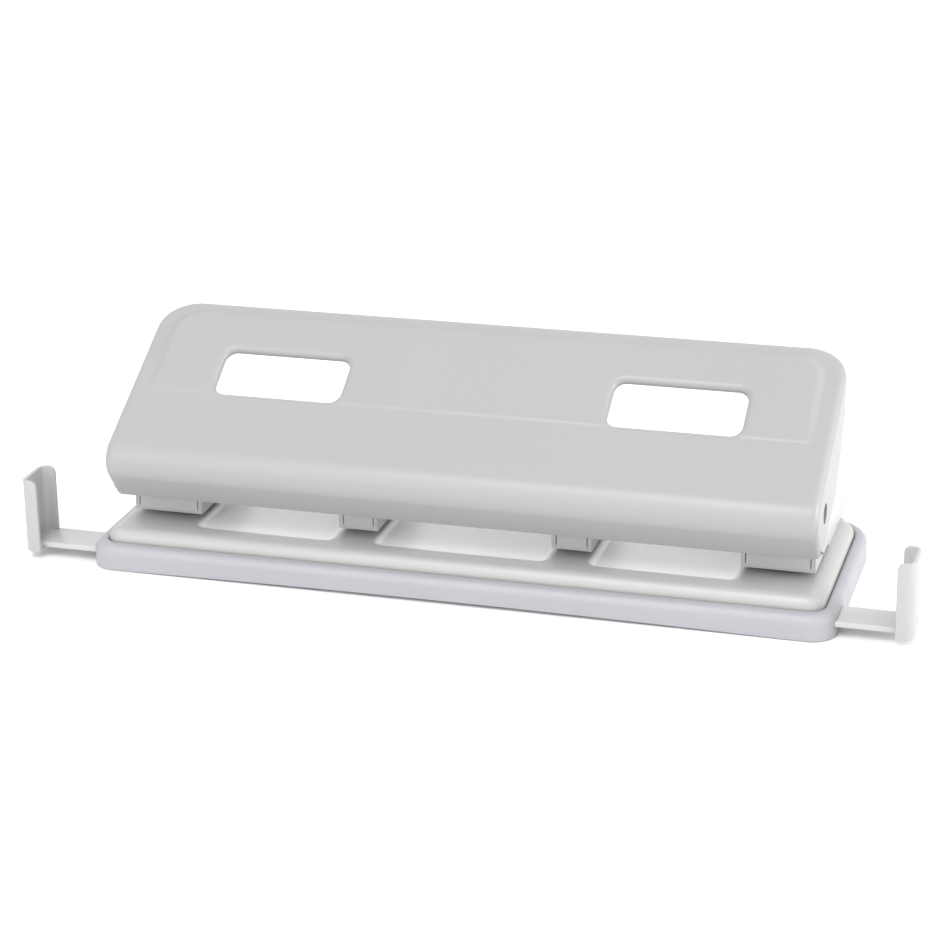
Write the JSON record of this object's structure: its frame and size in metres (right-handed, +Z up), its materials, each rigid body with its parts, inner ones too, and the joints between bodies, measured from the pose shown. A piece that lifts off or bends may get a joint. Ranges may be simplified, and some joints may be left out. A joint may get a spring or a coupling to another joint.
{
  "type": "hole punch",
  "caption": "Long desk punch with a sloping pressed-steel lever handle, punch heads on a steel base and sliding paper guides at both ends.",
  "frame": {"origin": "centre of the footprint on the table, under the middle of the base", "axes": "+X along the punch, +Y away from the user, +Z up"},
  "size_m": [0.3284, 0.095, 0.0825],
  "materials": {
    "painted_steel": "semi-gloss light grey baked enamel",
    "shell_plastic": "satin moulded, pale cool grey",
    "guide_plastic": "satin moulded, light grey",
    "rail_enamel": "light grey enamel",
    "inner_plastic": "natural acetal",
    "foot_rubber": "matt rubber",
    "zinc_steel": "zinc plated",
    "tool_steel": "ground hardened steel",
    "spring_steel": "drawn spring wire"
  },
  "bodies": {
    "base": {"base_plate": "painted_steel", "base_shell": "shell_plastic", "base_posts": "zinc_steel", "assembly_screws": "zinc_steel", "rubber_feet": "foot_rubber", "tray_hinge_pins": "zinc_steel", "bracket_rivets": "zinc_steel", "pivot_shaft": "zinc_steel", "shaft_rings": "zinc_steel", "left_rail_channel": "inner_plastic", "right_rail_channel": "inner_plastic", "bracket_1": "painted_steel", "bracket_2": "painted_steel", "bracket_3": "painted_steel", "bracket_4": "painted_steel", "die_bush_1": "tool_steel", "die_bush_2": "tool_steel", "die_bush_3": "tool_steel", "die_bush_4": "tool_steel", "return_spring_1": "spring_steel", "return_spring_2": "spring_steel", "return_spring_3": "spring_steel", "return_spring_4": "spring_steel"},
    "handle": {"handle": "painted_steel", "press_bar": "painted_steel", "pivot_washers": "inner_plastic"},
    "left_guide": {"left_guide_rail": "rail_enamel", "left_guide_stop": "guide_plastic"},
    "right_guide": {"right_guide_rail": "rail_enamel", "right_guide_stop": "guide_plastic"},
    "chip_tray": {"chip_tray": "shell_plastic"},
    "pin_1": {"punch_pin_1": "tool_steel", "pin_clip_1": "zinc_steel"},
    "pin_2": {"punch_pin_2": "tool_steel", "pin_clip_2": "zinc_steel"},
    "pin_3": {"punch_pin_3": "tool_steel", "pin_clip_3": "zinc_steel"},
    "pin_4": {"punch_pin_4": "tool_steel", "pin_clip_4": "zinc_steel"}
  },
  "joints": [
    {"name": "handle_press", "type": "hinge", "parent": "base", "child": "handle", "pos_m": [0, -0.0282, 0.04], "axis": [-1, 0, 0], "range_deg": [0, 16.5], "stiffness_Nm_per_rad": 2.6, "springref_deg": -9.17},
    {"name": "left_guide_slide", "type": "slide", "parent": "base", "child": "left_guide", "axis": [-1, 0, 0], "range_m": [-0.018, 0.03]},
    {"name": "right_guide_slide", "type": "slide", "parent": "base", "child": "right_guide", "axis": [1, 0, 0], "range_m": [-0.018, 0.03]},
    {"name": "chip_tray_hinge", "type": "hinge", "parent": "base", "child": "chip_tray", "pos_m": [0, 0.024, 0.0027], "axis": [1, 0, 0], "range_deg": [0, 75]},
    {"name": "pin_1_slide", "type": "slide", "parent": "base", "child": "pin_1", "axis": [0, 0, -1], "range_m": [0, 0.0062], "deforming": ["return_spring_1"]},
    {"name": "pin_2_slide", "type": "slide", "parent": "base", "child": "pin_2", "axis": [0, 0, -1], "range_m": [0, 0.0062], "deforming": ["return_spring_2"]},
    {"name": "pin_3_slide", "type": "slide", "parent": "base", "child": "pin_3", "axis": [0, 0, -1], "range_m": [0, 0.0062], "deforming": ["return_spring_3"]},
    {"name": "pin_4_slide", "type": "slide", "parent": "base", "child": "pin_4", "axis": [0, 0, -1], "range_m": [0, 0.0062], "deforming": ["return_spring_4"]}
  ],
  "couplings": [
    {"joint": "pin_1_slide", "follows": "handle_press", "m_per_rad": 0.0211},
    {"joint": "pin_2_slide", "follows": "handle_press", "m_per_rad": 0.0211},
    {"joint": "pin_3_slide", "follows": "handle_press", "m_per_rad": 0.0211},
    {"joint": "pin_4_slide", "follows": "handle_press", "m_per_rad": 0.0211}
  ]
}
